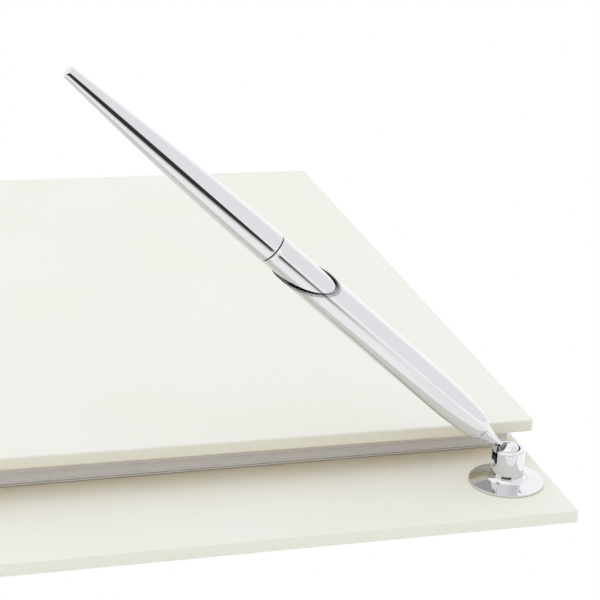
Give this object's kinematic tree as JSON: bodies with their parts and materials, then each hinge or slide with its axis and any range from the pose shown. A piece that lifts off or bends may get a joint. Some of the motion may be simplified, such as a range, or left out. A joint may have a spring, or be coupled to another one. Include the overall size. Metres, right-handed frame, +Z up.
{
  "type": "wedding guest book",
  "caption": "Case-bound ivory guest book lying flat; the back cover reaches past the front as a ledge with a chrome pen in a swivel ball stand.",
  "frame": {"origin": "middle of the footprint on the underside of the back cover", "axes": "+Z up from the table; spine on the -X side, fore edge on the +X side; ledge with the pen stand on the -Y side, head of the book on the +Y side"},
  "size_m": [0.28, 0.2624, 0.117],
  "materials": {
    "cover_paper": "ivory leather-grain covering paper, satin",
    "board": "grey-brown binder's board, raw",
    "page": "cream uncoated paper, matte",
    "lining": "open-weave mull, matte",
    "band": "woven cotton band",
    "chrome": "bright mirror chrome",
    "steel": "zinc-plated steel",
    "brass": "turned brass",
    "nylon": "black nylon",
    "refill_plastic": "translucent plastic tube"
  },
  "bodies": {
    "book": {"back_board": "board", "back_cover_wrap": "cover_paper", "back_pastedown": "page", "back_joint_cloth": "cover_paper", "spine_lining": "lining", "headband": "band", "tailband": "band", "signature_1": "page", "signature_2": "page", "signature_3": "page", "signature_4": "page", "back_flyleaf": "page", "stand_base": "chrome", "stand_screw": "steel", "seat_spring": "steel"},
    "spine": {"spine_board": "board", "spine_wrap": "cover_paper"},
    "front_cover": {"front_board": "board", "front_cover_wrap": "cover_paper", "front_pastedown": "page", "front_joint_cloth": "cover_paper"},
    "flyleaf": {"front_flyleaf": "page"},
    "page_1": {"leaf_1": "page"},
    "page_2": {"leaf_2": "page"},
    "ball_cup": {"ball_seat": "nylon"},
    "ball": {"swivel_ball": "chrome"},
    "socket": {"socket_liner": "steel"},
    "pen": {"pen_nose_cone": "chrome", "pen_lower_barrel": "chrome", "pen_collar": "chrome", "pen_tail": "chrome", "thread_sleeve": "brass", "refill_tip": "brass", "refill_tube": "refill_plastic", "refill_plug": "nylon"}
  },
  "joints": [
    {"name": "spine_fold", "type": "hinge", "parent": "book", "child": "spine", "pos_m": [-0.13825, 0, 0.00175], "axis": [0, -1, 0], "range_deg": [0, 90.3]},
    {"name": "front_cover_open", "type": "hinge", "parent": "spine", "child": "front_cover", "pos_m": [-0.13825, 0, 0.0145], "axis": [0, -1, 0], "range_deg": [0, 90.2]},
    {"name": "flyleaf_turn", "type": "hinge", "parent": "book", "child": "flyleaf", "pos_m": [-0.1364, 0, 0.0125], "axis": [0, -1, 0], "range_deg": [0, 182.6]},
    {"name": "leaf_1_turn", "type": "hinge", "parent": "book", "child": "page_1", "pos_m": [-0.1364, 0, 0.0125], "axis": [0, -1, 0], "range_deg": [0, 182.2]},
    {"name": "leaf_2_turn", "type": "hinge", "parent": "book", "child": "page_2", "pos_m": [-0.1364, 0, 0.0125], "axis": [0, -1, 0], "range_deg": [0, 181.8]},
    {"name": "stand_swivel", "type": "hinge", "parent": "book", "child": "ball_cup", "pos_m": [0.12735, -0.11135, 0.01195], "axis": [0, 0, 1], "continuous": true},
    {"name": "stand_tilt", "type": "hinge", "parent": "ball_cup", "child": "ball", "pos_m": [0.12735, -0.11135, 0.01195], "axis": [0.0872, 0.9962, 0], "range_deg": [-2.5, 48.3]},
    {"name": "pen_spin", "type": "hinge", "parent": "ball", "child": "socket", "pos_m": [0.12735, -0.11135, 0.01195], "axis": [-0.7438, 0.0651, 0.6652], "continuous": true},
    {"name": "pen_pull", "type": "slide", "parent": "socket", "child": "pen", "axis": [-0.7438, 0.0651, 0.6652], "range_m": [0, 0.06]}
  ],
  "couplings": [
    {"joint": "spine_fold", "follows": "front_cover_open", "ratio": 1},
    {"joint": "flyleaf_turn", "follows": "front_cover_open", "ratio": 2.018},
    {"joint": "leaf_1_turn", "follows": "front_cover_open", "ratio": 2.014},
    {"joint": "leaf_2_turn", "follows": "front_cover_open", "ratio": 2.01}
  ]
}
